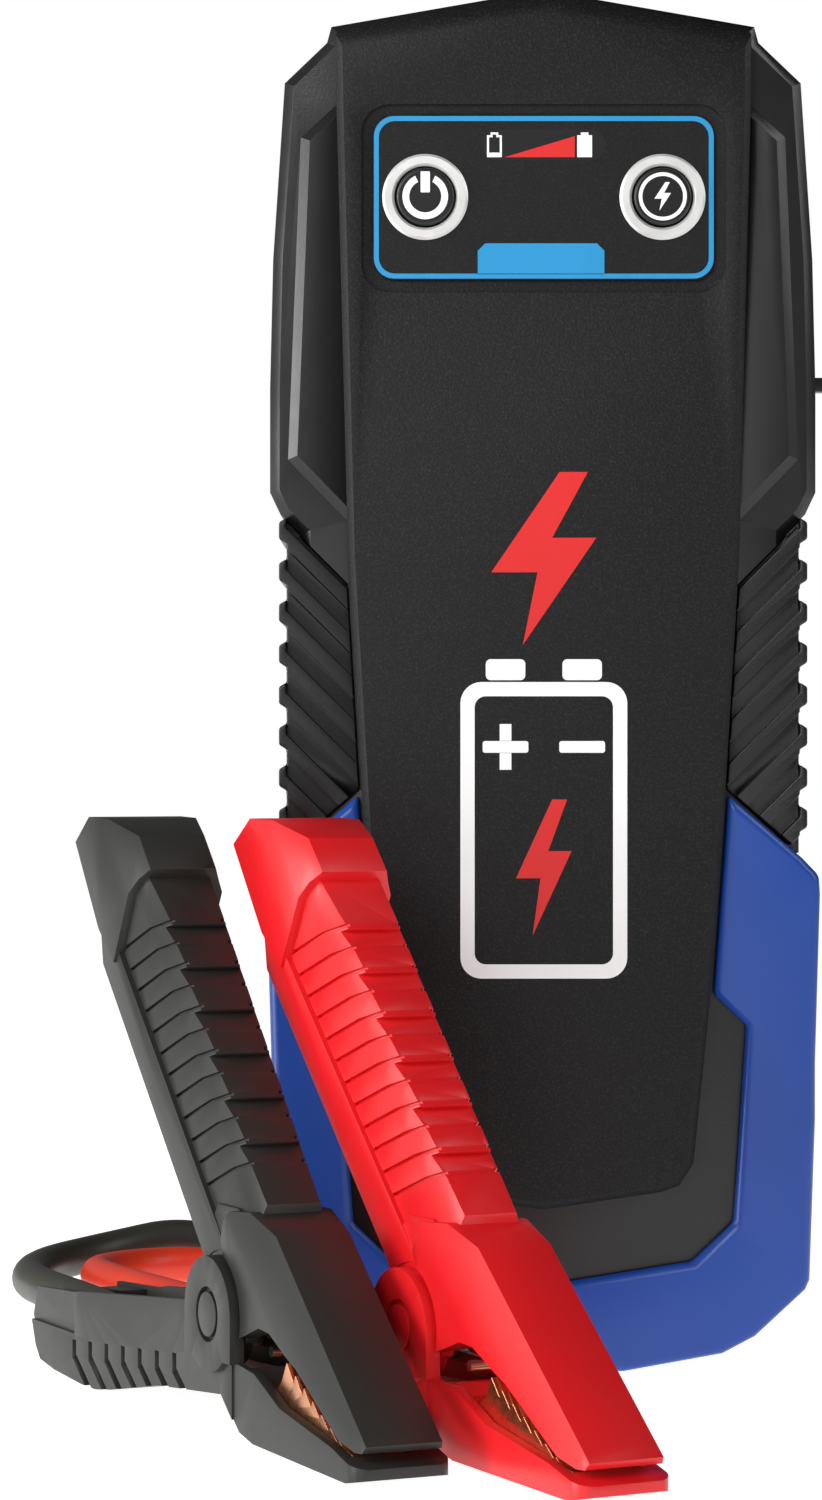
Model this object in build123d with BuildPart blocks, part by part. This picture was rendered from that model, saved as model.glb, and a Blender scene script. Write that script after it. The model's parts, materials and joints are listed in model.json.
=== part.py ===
from build123d import *
import math
import os

# Lithium jump starter pack with its unplugged clamp leads, in millimetres.
# The origin is the centre of the pack's flat foot. +X is to the right of the
# pack, +Y to its back and +Z up. The pack stands on its foot, facing -Y.

os.makedirs("parts", exist_ok=True)

# ---------------------------------------------------------------- dimensions
PANEL_Y = -18.0  # face of the raised centre panel
WING_Y = -14.0  # face of the front shell beside it
SPLIT_Y = 1.0  # seam between the two shells
BACK_Y = 18.0  # outer face of the rear shell
LIP = 2.4  # the bumper stands this far off both shells
CAVITY_FRONT = -8.3
CAVITY_BACK = 15.8

BUTTON_X = 19.2
BUTTON_Z = 190.5
CAP_R = 4.7
RING_R = 6.95
OVERLAY_Y = -17.2  # floor of the overlay's recess

RIB_TOP = 136.7
RIB_PITCH = 6.7
RIBS = 8
RIB_W = 2.2

COVER_X = 43.3  # hinge axis of the port cover
COVER_Y = 9.4
PORT_LOW = 145.6
PORT_HIGH = 176.4
SOCKET_BACK = 6.4  # the sockets stand on the main board's face

PIN_Z = 17.8  # clamp pivot above the floor
EAR_W = 8.9  # half widths across a clamp
HANDLE_W = 7.9
JAW_W = 7.6
CHANNEL_W = 6.6
HUB_W = 6.3
BAY_W = 4.4
PIN_R = 2.6
TEETH = 6

CABLE_R = 3.25
PLUG_Z = 5.5
RED_Y = 57.0
BLACK_Y = 67.0
PLUG_X = -26.0  # back face of the plug's boot

# Each clamp's pivot on the floor plan and the angle that its jaws point at.
BLACK_PIN = (-43.6, -74.0)
BLACK_YAW = -64.4
RED_PIN = (-15.6, -87.8)
RED_YAW = -61.8

# ------------------------------------------------------------------ outlines
SHELL = [
    (0, 225), (34.5, 219), (35.2, 216.4), (42.1, 209.8), (44, 181), (44.5, 160),
    (44.5, 143), (42.8, 139.4), (39.5, 136.1), (39.5, 80), (41.2, 77), (41, 45),
    (40.2, 16), (32.9, 8.7), (28.3, 6), (13, 3.2), (0, 3.2),
]
CAVITY = [
    (0, 221.5), (31.5, 216), (40, 206), (42, 183), (42, 146), (36.9, 136),
    (36.9, 78), (38.6, 75), (38.2, 45), (37.6, 17.5), (31.5, 11.5), (27.5, 8.9),
    (13, 6), (0, 6),
]
PANEL = [
    (0, 223.9), (33, 218.2), (33.7, 217.2), (33.6, 206), (31.7, 132), (29, 86),
    (27.1, 61.5), (24.3, 34), (22, 30.4), (19, 29.3), (0, 26.5),
]
BUMPER = [
    (0, 83.5), (42, 83.5), (44.8, 80.6), (45, 77.6), (44.2, 50), (44.2, 41),
    (43.3, 14.9), (42.6, 13.3), (34.4, 5.7), (29.1, 2.9), (13, 0), (0, 0),
]
BUMPER_LIP = [
    (0, 13.9), (7.8, 15.2), (24.3, 17.9), (30.9, 24.2), (33, 56.3), (27.6, 61.4),
    (30, 93.7), (42, 83.5), (44.8, 80.6), (45, 77.6), (44.2, 50), (44.2, 41),
    (43.3, 14.9), (42.6, 13.3), (34.4, 5.7), (29.1, 2.9), (13, 0), (0, 0),
]


def both_sides(half):
    """A closed outline from its right half, which starts and ends on the middle."""
    return half + [(-x, z) for x, z in reversed(half) if x > 0]


def face_at(y):
    """A sketch plane across the pack, X to the right and Z up, facing -Y."""
    return Plane.XZ.offset(-y)


def save(piece, label):
    piece.label = label
    export_step(piece, f"parts/{label}.step")


# ---------------------------------------------------------------- the shells
GRIP_RECESS = [(31.7, 128), (29.7, 94.5), (46, 80), (46, 142.3)]
WING_PLATE = [(0, 206.9), (33, 206.9), (39.6, 200.8), (41.7, 148.2), (32, 138.2), (0, 138.2)]
WING_RISE = 1.3  # the inner part of each wing stands this far off it
CASE_SCREWS = [(33.2, 204), (-33.2, 204), (33.2, 100), (-33.2, 100)]
BOARD_SCREWS = [(28, 144), (-28, 144), (28, 194), (-28, 194)]



def wing_plates():
    """The raised plate of both wings, with the panel's place cut out of it."""
    with BuildPart() as plates:
        with BuildSketch(face_at(WING_Y + 0.4)):
            Polygon(*both_sides(WING_PLATE), align=None)
            offset(amount=0.3, kind=Kind.INTERSECTION)
        with BuildSketch(face_at(WING_Y - WING_RISE)):
            Polygon(*both_sides(WING_PLATE), align=None)
            offset(amount=-1.7, kind=Kind.INTERSECTION)
        loft()
        with BuildSketch(face_at(WING_Y)):
            Polygon(*both_sides(PANEL), align=None)
        extrude(amount=WING_RISE, mode=Mode.SUBTRACT)
        with BuildSketch(face_at(CAVITY_FRONT)):
            with Locations((0, 192)):
                Rectangle(51, 20)
        extrude(amount=10, mode=Mode.SUBTRACT)
    return plates.part


with BuildPart() as front_shell:
    with BuildSketch(face_at(SPLIT_Y)):
        Polygon(*both_sides(SHELL), align=None)
    extrude(amount=SPLIT_Y - WING_Y)
    chamfer(front_shell.edges().group_by(Axis.Y)[0], 1.6)
    with BuildSketch(face_at(SPLIT_Y)):
        Polygon(*both_sides(CAVITY), align=None)
    extrude(amount=SPLIT_Y - CAVITY_FRONT, mode=Mode.SUBTRACT)
    with BuildSketch(face_at(CAVITY_FRONT)):
        with Locations((0, 109)):
            Rectangle(58, 194)
    extrude(amount=3.3, mode=Mode.SUBTRACT)
    # window behind the buttons and the gauge
    with BuildSketch(face_at(CAVITY_FRONT)):
        with Locations((0, 192)):
            Rectangle(51, 20)
    extrude(amount=10, mode=Mode.SUBTRACT)
    # recesses for the two grips
    with BuildSketch(face_at(-10.5)):
        Polygon(*GRIP_RECESS, align=None)
        mirror(about=Plane.YZ)
    extrude(amount=5, mode=Mode.SUBTRACT)
    # raised inner part of each wing, with a broad slope round it
    add(wing_plates())
    # screw bosses, and the pads that the control board rests on
    with BuildSketch(face_at(SPLIT_Y)):
        with Locations(*CASE_SCREWS):
            Circle(3.5)
    extrude(amount=SPLIT_Y - CAVITY_FRONT)
    with BuildSketch(face_at(SPLIT_Y)):
        with Locations(*CASE_SCREWS):
            Circle(1.5)
    extrude(amount=8, mode=Mode.SUBTRACT)
    with BuildSketch(face_at(-10.2)):
        with Locations((0, 178), (0, 204.3)):
            Rectangle(40, 3)
    extrude(amount=1.4)
    # pocket for the port cover, in the right side
    with BuildSketch(face_at(SPLIT_Y)):
        with Locations((44, (PORT_LOW + PORT_HIGH) / 2)):
            Rectangle(4, PORT_HIGH - PORT_LOW)
    extrude(amount=SPLIT_Y + 8, mode=Mode.SUBTRACT)
save(front_shell.part, "front_shell")

with BuildPart() as rear_shell:
    with BuildSketch(face_at(BACK_Y)):
        Polygon(*both_sides(SHELL), align=None)
    extrude(amount=BACK_Y - SPLIT_Y)
    with BuildSketch(face_at(CAVITY_BACK)):
        Polygon(*both_sides(CAVITY), align=None)
    extrude(amount=CAVITY_BACK - SPLIT_Y, mode=Mode.SUBTRACT)
    chamfer(
        rear_shell.edges().group_by(Axis.Y)[-1].filter_by(lambda e: e.center().Z > 137),
        1.6,
    )
    with BuildSketch(face_at(CAVITY_BACK)):
        with Locations(*CASE_SCREWS):
            Circle(3.5)
    extrude(amount=CAVITY_BACK - SPLIT_Y)
    with BuildSketch(face_at(CAVITY_BACK)):
        with Locations(*BOARD_SCREWS):
            Circle(3)
    extrude(amount=CAVITY_BACK - SOCKET_BACK - 1.6)
    with BuildSketch(face_at(14)):
        with Locations(*BOARD_SCREWS):
            Circle(1.25)
    extrude(amount=14 - SOCKET_BACK, mode=Mode.SUBTRACT)
    with BuildSketch(face_at(BACK_Y)):
        with Locations(*CASE_SCREWS):
            Circle(1.5)
    extrude(amount=BACK_Y - SPLIT_Y, mode=Mode.SUBTRACT)
    with BuildSketch(face_at(BACK_Y)):
        with Locations(*CASE_SCREWS):
            Circle(3)
    extrude(amount=2.5, mode=Mode.SUBTRACT)
    # cooling slots
    with BuildSketch(face_at(BACK_Y)):
        with Locations((0, 185)):
            with GridLocations(0, 5, 1, 4):
                SlotOverall(34, 2)
    extrude(amount=3, mode=Mode.SUBTRACT)
    # pocket for the port cover and holes for its hinge pin
    with BuildSketch(face_at(11.4)):
        with Locations((44, (PORT_LOW + PORT_HIGH) / 2)):
            Rectangle(4, PORT_HIGH - PORT_LOW)
    extrude(amount=11.4 - SPLIT_Y, mode=Mode.SUBTRACT)
    with BuildSketch(Plane.XY.offset(142.6)):
        with Locations((COVER_X, COVER_Y)):
            Circle(0.6)
    extrude(amount=36.8, mode=Mode.SUBTRACT)
save(rear_shell.part, "rear_shell")

with BuildPart() as lower_bumper:
    with BuildSketch(face_at(BACK_Y)):
        Polygon(*both_sides(BUMPER), align=None)
        Polygon(*both_sides(SHELL), align=None, mode=Mode.SUBTRACT)
    extrude(amount=BACK_Y - WING_Y)
    with BuildSketch(face_at(WING_Y)):
        Polygon(*both_sides(BUMPER_LIP), align=None)
    extrude(amount=LIP)
    with BuildSketch(face_at(BACK_Y + LIP)):
        Polygon(*both_sides(BUMPER_LIP), align=None)
    extrude(amount=LIP)
    chamfer(lower_bumper.edges().group_by(Axis.Y)[0], 0.9)
    chamfer(lower_bumper.edges().group_by(Axis.Y)[-1], 0.9)
save(lower_bumper.part, "lower_bumper")

GRIP_PATCH = [(31.8, 127.8), (29.9, 94.7), (41.8, 84.4), (41.8, 137.8)]
GRIP_SIDE = [(39.5, 136), (39.5, 84.2), (41.8, 84.2), (41.8, 138.3)]


def side_grip():
    """Ribbed rubber pad that wraps one side, drawn on the right."""
    rib_heights = [RIB_TOP - RIB_PITCH * i for i in range(RIBS)]
    with BuildPart() as grip:
        with BuildSketch(face_at(-10.5)):
            Polygon(*GRIP_PATCH, align=None)
        extrude(amount=2)
        with BuildSketch(face_at(BACK_Y)):
            Polygon(*GRIP_SIDE, align=None)
        extrude(amount=BACK_Y + 12.5)
        with BuildSketch(face_at(-12.5)):
            for height in rib_heights:
                with Locations((36.4, height - 6.6)):
                    Rectangle(24, RIB_W, rotation=45)
            Polygon(*GRIP_PATCH, align=None, mode=Mode.INTERSECT)
        extrude(amount=2.1)
        with BuildSketch(face_at(17)):
            for height in rib_heights:
                with Locations((41.8, height)):
                    Trapezoid(4.2, 1.2, 58, rotation=-90, align=(Align.CENTER, Align.MIN))
        extrude(amount=17 + 14.6)
    return grip.part


grip = side_grip()
save(grip, "right_grip")
save(grip.mirror(Plane.YZ), "left_grip")

# ------------------------------------------------- front panel and its controls
with BuildPart() as front_panel:
    with BuildSketch(face_at(WING_Y)):
        Polygon(*both_sides(PANEL), align=None)
    extrude(amount=WING_Y - PANEL_Y)
    rim = front_panel.edges().group_by(Axis.Y)[0]
    chamfer(rim.filter_by(lambda edge: edge.center().Z > 219), 2.4)
    chamfer(front_panel.edges().group_by(Axis.Y)[0].filter_by(lambda edge: edge.center().Z < 219), 1.1)
    with BuildSketch(face_at(OVERLAY_Y)):
        with Locations((0, 190.3)):
            RectangleRounded(59, 30.4, 4.5)
    extrude(amount=2, mode=Mode.SUBTRACT)
    with BuildSketch(face_at(WING_Y)):
        with Locations((BUTTON_X, BUTTON_Z), (-BUTTON_X, BUTTON_Z)):
            Circle(CAP_R + 0.3)
        with Locations((0, 199)):
            SlotOverall(20, 5)
    extrude(amount=4, mode=Mode.SUBTRACT)
save(front_panel.part, "front_panel")

with BuildPart() as control_overlay:
    with BuildSketch(face_at(OVERLAY_Y)):
        with Locations((0, 190.45)):
            RectangleRounded(55.2, 26.5, 3.4)
        with Locations((BUTTON_X, BUTTON_Z), (-BUTTON_X, BUTTON_Z)):
            Circle(RING_R, mode=Mode.SUBTRACT)
        with Locations((0, 199)):
            SlotOverall(20, 5, mode=Mode.SUBTRACT)
    extrude(amount=0.8)
save(control_overlay.part, "control_overlay")

with BuildPart() as gauge_window:
    with BuildSketch(face_at(WING_Y)):
        with Locations((0, 199)):
            SlotOverall(20, 5)
    extrude(amount=WING_Y - OVERLAY_Y + 0.8)
save(gauge_window.part, "gauge_window")


def button_ring(x):
    with BuildPart() as ring:
        with BuildSketch(face_at(OVERLAY_Y)):
            with Locations((x, BUTTON_Z)):
                Circle(RING_R)
                Circle(CAP_R + 0.3, mode=Mode.SUBTRACT)
        extrude(amount=1.4)
        chamfer(ring.edges().group_by(Axis.Y)[0], 0.4)
    return ring.part


def button_cap(x):
    """Round cap with a flange that stops against the back of the panel."""
    with BuildPart() as cap:
        with BuildSketch(face_at(WING_Y + 1)):
            with Locations((x, BUTTON_Z)):
                Circle(5.8)
        extrude(amount=0.9)
        with BuildSketch(face_at(WING_Y + 0.2)):
            with Locations((x, BUTTON_Z)):
                Circle(CAP_R)
        extrude(amount=5)
        fillet(cap.edges().group_by(Axis.Y)[0], 0.5)
    return cap.part


save(button_ring(-BUTTON_X), "power_button_ring")
save(button_ring(BUTTON_X), "boost_button_ring")
save(button_cap(-BUTTON_X), "power_button")
save(button_cap(BUTTON_X), "boost_button")

with BuildPart() as control_board:
    with BuildSketch(face_at(-8.6)):
        with Locations((0, 190.5)):
            Rectangle(57, 30)
    extrude(amount=1.6)
save(control_board.part, "control_board")

with BuildPart() as tact_switches:
    with BuildSketch(face_at(-10.2)):
        with Locations((BUTTON_X, BUTTON_Z), (-BUTTON_X, BUTTON_Z)):
            Rectangle(6, 6)
    extrude(amount=1.4)
    with BuildSketch(face_at(-11.6)):
        with Locations((BUTTON_X, BUTTON_Z), (-BUTTON_X, BUTTON_Z)):
            Circle(1.7)
    extrude(amount=0.5)
save(tact_switches.part, "tact_switches")

with BuildPart() as status_leds:
    with BuildSketch(face_at(-10.2)):
        with Locations((0, 199)):
            with GridLocations(4, 0, 5, 1):
                Rectangle(1.6, 0.8)
    extrude(amount=0.7)
save(status_leds.part, "status_leds")

# ----------------------------------------------------- boards, sockets, cells
with BuildPart() as main_board:
    with BuildSketch(face_at(SOCKET_BACK + 1.6)):
        with Locations((3, 169)):
            Rectangle(72, 58)
        with Locations(*BOARD_SCREWS):
            Circle(1.4, mode=Mode.SUBTRACT)
    extrude(amount=1.6)
save(main_board.part, "main_board")

with BuildPart() as board_screws:
    with BuildSketch(face_at(13.5)):
        with Locations(*BOARD_SCREWS):
            Circle(1.25)
    extrude(amount=13.5 - SOCKET_BACK)
    with BuildSketch(face_at(SOCKET_BACK)):
        with Locations(*BOARD_SCREWS):
            Circle(2.4)
    extrude(amount=1.5)
save(board_screws.part, "board_screws")

with BuildPart() as case_screws:
    with BuildSketch(face_at(15.5)):
        with Locations(*CASE_SCREWS):
            Circle(1.5)
    extrude(amount=15.5 + 6)
    with BuildSketch(face_at(17.6)):
        with Locations(*CASE_SCREWS):
            Circle(2.8)
    extrude(amount=2.1)
    with BuildSketch(face_at(17.6)):
        with Locations(*CASE_SCREWS):
            Rectangle(3.2, 0.7)
            Rectangle(0.7, 3.2)
    extrude(amount=1, mode=Mode.SUBTRACT)
save(case_screws.part, "case_screws")


def socket_block(low, high, depth):
    """Housing that stands on the main board and faces the right side."""
    block = Box(
        41.8 - depth,
        SOCKET_BACK + 7,
        high - low,
        align=(Align.MIN, Align.MIN, Align.MIN),
        mode=Mode.PRIVATE,
    )
    return Pos(depth, -7, low) * block


RIGHT_FACE = Plane(origin=(41.8, -0.3, 0), x_dir=(0, 1, 0), z_dir=(1, 0, 0))

with BuildPart() as jump_socket:
    add(socket_block(147.5, 158.5, 27))
    with BuildSketch(RIGHT_FACE):
        with Locations((0, 153)):
            RectangleRounded(11.4, 8.2, 1.5)
    extrude(amount=-11, mode=Mode.SUBTRACT)
save(jump_socket.part, "jump_socket")

with BuildPart() as jump_contacts:
    with BuildSketch(RIGHT_FACE.offset(-11)):
        with Locations((-3, 153), (3, 153)):
            Circle(1.8)
            Circle(0.9, mode=Mode.SUBTRACT)
    extrude(amount=9)
save(jump_contacts.part, "jump_contacts")

with BuildPart() as usb_socket:
    add(socket_block(160.6, 166.4, 30))
    with BuildSketch(RIGHT_FACE):
        with Locations((0, 163.5)):
            Rectangle(11.6, 4.4)
    extrude(amount=-9, mode=Mode.SUBTRACT)
    with BuildSketch(RIGHT_FACE.offset(-9)):
        with Locations((0, 164.4)):
            Rectangle(10, 1.6)
    extrude(amount=8)
save(usb_socket.part, "usb_socket")

with BuildPart() as charge_socket:
    add(socket_block(168.2, 175.2, 31))
    with BuildSketch(RIGHT_FACE):
        with Locations((0, 171.7)):
            Circle(2.9)
            Circle(0.9, mode=Mode.SUBTRACT)
    extrude(amount=-9, mode=Mode.SUBTRACT)
save(charge_socket.part, "charge_socket")

with BuildPart() as port_bezel:
    with BuildSketch(RIGHT_FACE.offset(0.2)):
        with Locations((0, 161.5)):
            Rectangle(15.2, 30.6)
    extrude(amount=-2)
    with BuildSketch(RIGHT_FACE.offset(0.2)):
        with Locations((0, 153)):
            Rectangle(13.4, 11)
        with Locations((0, 163.5)):
            Rectangle(13.4, 5.8)
        with Locations((0, 171.7)):
            Rectangle(13.4, 7)
    extrude(amount=-2, mode=Mode.SUBTRACT)
save(port_bezel.part, "port_bezel")

with BuildPart() as port_cover:
    with BuildSketch(Plane.XY.offset(PORT_LOW + 0.6)):
        with Locations((43.2, 0.95)):
            Rectangle(1.8, 16.9)
        with Locations((COVER_X, COVER_Y)):
            Circle(1.2)
    extrude(amount=PORT_HIGH - PORT_LOW - 1.2)
    with BuildSketch(Plane.XY.offset(159.9)):
        with Locations((45.2, -5.7)):
            Rectangle(2.4, 3.6)
    extrude(amount=2.3)
    with BuildSketch(Plane.XY.offset(PORT_LOW)):
        with Locations((COVER_X, COVER_Y)):
            Circle(0.66)
    extrude(amount=PORT_HIGH - PORT_LOW, mode=Mode.SUBTRACT)
save(port_cover.part, "port_cover")

with BuildPart() as cover_pin:
    with BuildSketch(Plane.XY.offset(142.8)):
        with Locations((COVER_X, COVER_Y)):
            Circle(0.6)
    extrude(amount=36.4)
save(cover_pin.part, "cover_pin")

CELL_LOW = 22
CELL_HEIGHT = 104
CELL_DEPTH = 5.4
CELL_PITCH = 5.6
for index in range(4):
    with BuildPart() as cell:
        with BuildSketch(face_at(-2 + CELL_PITCH * index)):
            with Locations((0, CELL_LOW + CELL_HEIGHT / 2)):
                RectangleRounded(54, CELL_HEIGHT, 2)
        extrude(amount=CELL_DEPTH)
    save(cell.part, f"cell_{index + 1}")

with BuildPart() as cell_tray:
    with BuildSketch(face_at(15.2)):
        with Locations((0, 73)):
            Rectangle(58, 106)
        with Locations((0, 74)):
            Rectangle(54, 104, mode=Mode.SUBTRACT)
    extrude(amount=23)
save(cell_tray.part, "cell_tray")

with BuildPart() as bus_bars:
    with BuildSketch(Plane.XY.offset(126)):
        with Locations((-14, 3.9), (14, 3.9)):
            Rectangle(8, 21)
    extrude(amount=1)
save(bus_bars.part, "bus_bars")

with BuildPart() as cell_board:
    with BuildSketch(Plane.XY.offset(127)):
        with Locations((0, 3.9)):
            Rectangle(50, 19)
    extrude(amount=1.6)
save(cell_board.part, "cell_board")

with BuildPart() as jump_relay:
    with BuildSketch(face_at(SOCKET_BACK)):
        with Locations((-8, 165)):
            Rectangle(22, 22)
    extrude(amount=12)
save(jump_relay.part, "jump_relay")

with BuildPart() as rating_label:
    with BuildSketch(face_at(BACK_Y + 0.3)):
        with Locations((0, 140)):
            RectangleRounded(50, 56, 3)
    extrude(amount=0.3)
save(rating_label.part, "rating_label")

# ------------------------------------------------------------------- clamps
# Clamp profiles are drawn in the clamp's own upright plane, with the pivot at
# the origin, the jaws towards +X and up at +Y.
FLOOR = -PIN_Z
LOWER_PROFILE = [
    (-75.4, -5.9), (-76.8, -9.3), (-74.6, -14.2), (-72.5, -16.2), (-66, -17.1),
    (-53.8, FLOOR), (-47.8, FLOOR), (-41, -16.9), (-22.2, -13.6), (2.9, -11.5),
    (9, -16.2), (14, -17.2), (46, FLOOR), (49, -17.2), (49.4, -15.6), (46.5, -14.9),
    (41.1, -13.5), (23.6, -10.7), (14.5, -7), (8, -6.3), (0, 1.8), (-7.6, 1.1),
    (-55.4, -3.2), (-57, -3.6), (-75, -4.6),
]
CHANNEL = [
    (-90, -11.3), (-70, -13.4), (-53, -15.8), (-46, -15.8), (-22, -11.7),
    (2.9, -9.6), (11, -9.4), (11, 20), (-90, 20),
]
# Upper handle: the plain side rails, and the block at its end.
RAIL_PROFILE = [
    (-5.5, 5.5), (-7.5, 8.8), (-45.7, 49.5), (-46.5, 55.1), (-56.5, 68.5),
    (-50.6, 72.6), (-43.4, 72.4), (-35.2, 69.8), (11.6, 17), (10, 11), (6, 9), (0, 7),
]
CAP_PROFILE = [
    (-46.5, 55.1), (-56.5, 68.5), (-50.6, 72.6), (-43.4, 72.4), (-35.2, 69.8),
    (-30.5, 64.8), (-32.5, 63.2), (-40, 50),
]
TOOTH_START = (-31.5, 64.6)
TOOTH_END = (11.6, 17)
NOTCH_W = 0.6  # width of the slanting lines across the handle's flanks
NOTCH_LEAN = 7.0  # how far down the handle they run over its depth
FIRST_TOOTH = 11.0  # length of the plain plate above the first step
TOOTH_PITCH = 8.4
HEAD_PROFILE = [
    (2, 11), (3, 13.8), (5, 15.6), (10.5, 15.9), (18.4, 13.2), (47.4, -11.1),
    (49.2, -12.6), (49, -13.5), (46.5, -13.6), (42.1, -12.5), (36.5, -9.1),
    (28.8, -4.4), (19.9, -0.5), (16.1, -0.2), (9, -2.6),
]
PLATE_TOP = (18.4, 13.2)  # upper end of the head's flat face
PLATE_RUN = (-0.767, 0.643)  # up along that face
PLATE_OUT = (0.643, 0.767)  # straight out of it
# Half cross-sections (across, outwards) of the upper lever at two places.
HANDLE_RUN = (-0.684, 0.729)
HANDLE_LOW = (8, -4)
HANDLE_HIGH = (-68, 77)
RAIL_SECTIONS = ([(6.3, -6), (6.3, 4.6)], [(7.9, -6), (7.9, 3.2)])
TOOTH_SECTIONS = ([(5.5, -6), (5.5, 13.6), (3.4, 18.6)], [(6.9, -6), (6.9, 14.2), (4.2, 19.4)])
CORE_SECTIONS = ([(4.8, -6), (4.8, 13.4), (2.8, 18.6)], [(6.2, -6), (6.2, 14), (3.6, 19.4)])
CAP_SECTIONS = ([(7.9, -12), (7.9, 14), (5, 20)], [(7.9, -12), (7.9, 14), (5, 20)])
HEAD_SECTIONS = ([(7.6, -34), (7.6, -7.6), (5.6, 1)], [(7.6, -34), (7.6, -7.6), (5.6, 1)])


def clamp_side(pin, yaw):
    """The clamp's middle plane: X along the jaws, Y up."""
    along = Vector(math.cos(math.radians(yaw)), math.sin(math.radians(yaw)), 0)
    return Plane(origin=(pin[0], pin[1], PIN_Z), x_dir=along, z_dir=along.cross(Vector(0, 0, 1)))


def across(side, along, up, run):
    """A plane through a point of the middle plane, facing along a run in it."""
    start = side.from_local_coords(Vector(along, up, 0))
    tip = side.from_local_coords(Vector(along + run[0], up + run[1], 0))
    return Plane(origin=start, x_dir=side.z_dir, z_dir=tip - start)


def tooth_point(run, rise):
    """A point beside the handle's back: run down it, rise outwards from it."""
    length = math.dist(TOOTH_START, TOOTH_END)
    along = ((TOOTH_END[0] - TOOTH_START[0]) / length, (TOOTH_END[1] - TOOTH_START[1]) / length)
    x = TOOTH_START[0] + along[0] * run - along[1] * rise
    y = TOOTH_START[1] + along[1] * run + along[0] * rise
    return x, y


def tooth_line():
    """Stepped back of the upper handle, from its end block to the head."""
    stations = [(0.0, -1.3)]
    for tooth in range(TEETH):
        tip = FIRST_TOOTH + TOOTH_PITCH * tooth
        stations += [(tip, 0.0), (tip - 0.6, -1.3), (tip + 4.2, -0.35)]
    stations.append((math.dist(TOOTH_START, TOOTH_END), 0.0))
    return [tooth_point(run, rise) for run, rise in stations]


def flank_notches(side):
    """Cutter for the slanting lines that part the plates on both flanks."""
    with BuildPart() as cutter:
        with BuildSketch(side):
            for tooth in range(TEETH):
                tip = FIRST_TOOTH + TOOTH_PITCH * tooth
                for run in (tip - NOTCH_W, tip + TOOTH_PITCH / 2 - NOTCH_W):
                    Polygon(
                        tooth_point(run, 1), tooth_point(run + NOTCH_W, 1),
                        tooth_point(run + NOTCH_W - NOTCH_LEAN, -15), tooth_point(run - NOTCH_LEAN, -15),
                        align=None,
                    )
        extrude(amount=10, both=True)
    return cutter.part


def lever_layer(side, profile, ends, run, sections):
    """A side profile of the upper lever, trimmed to its cross-sections."""
    with BuildPart() as layer:
        with BuildSketch(side):
            Polygon(*profile, align=None)
        extrude(amount=9, both=True)
        for (along, up), half in zip(ends, sections):
            with BuildSketch(across(side, along, up, run)):
                Polygon(*half, *[(-w, out) for w, out in reversed(half)], align=None)
        loft(mode=Mode.INTERSECT)
    return layer.part


def tip_cutter(side):
    """What is cut away to round the corners of a jaw's tip, seen from above."""
    plan = Plane(origin=side.origin, x_dir=side.x_dir, z_dir=(0, 0, 1))
    with BuildPart() as cutter:
        with BuildSketch(plan):
            with Locations((50, 0)):
                Rectangle(9, 20)
            with Locations((34.4, 0)):
                RectangleRounded(30, 2 * JAW_W, 2.8, mode=Mode.SUBTRACT)
        extrude(amount=25, both=True)
    return cutter.part


def plate_point(distance):
    """A point on the middle of the head's flat face, this far below its top."""
    return PLATE_TOP[0] - PLATE_RUN[0] * distance, PLATE_TOP[1] - PLATE_RUN[1] * distance


def field_groove(side, distance, length, rounded_end):
    """Cutter for the groove round one field of the head's flat face."""
    with BuildPart() as cutter:
        with BuildSketch(across(side, *plate_point(distance), PLATE_OUT)):
            Rectangle(8.6, length)
            fillet(vertices().group_by(Axis.Y)[rounded_end], 1.9)
            offset(amount=-0.6, mode=Mode.SUBTRACT)
        extrude(amount=-0.6)
    return cutter.part


def polarity_sign(side, plus):
    """Cutter for the minus or plus sign in the larger field."""
    with BuildPart() as cutter:
        with BuildSketch(across(side, *plate_point(15.8), PLATE_OUT)):
            Rectangle(4.6, 1.1)
            if plus:
                Rectangle(1.1, 4.6)
        extrude(amount=-0.5)
    return cutter.part


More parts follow.
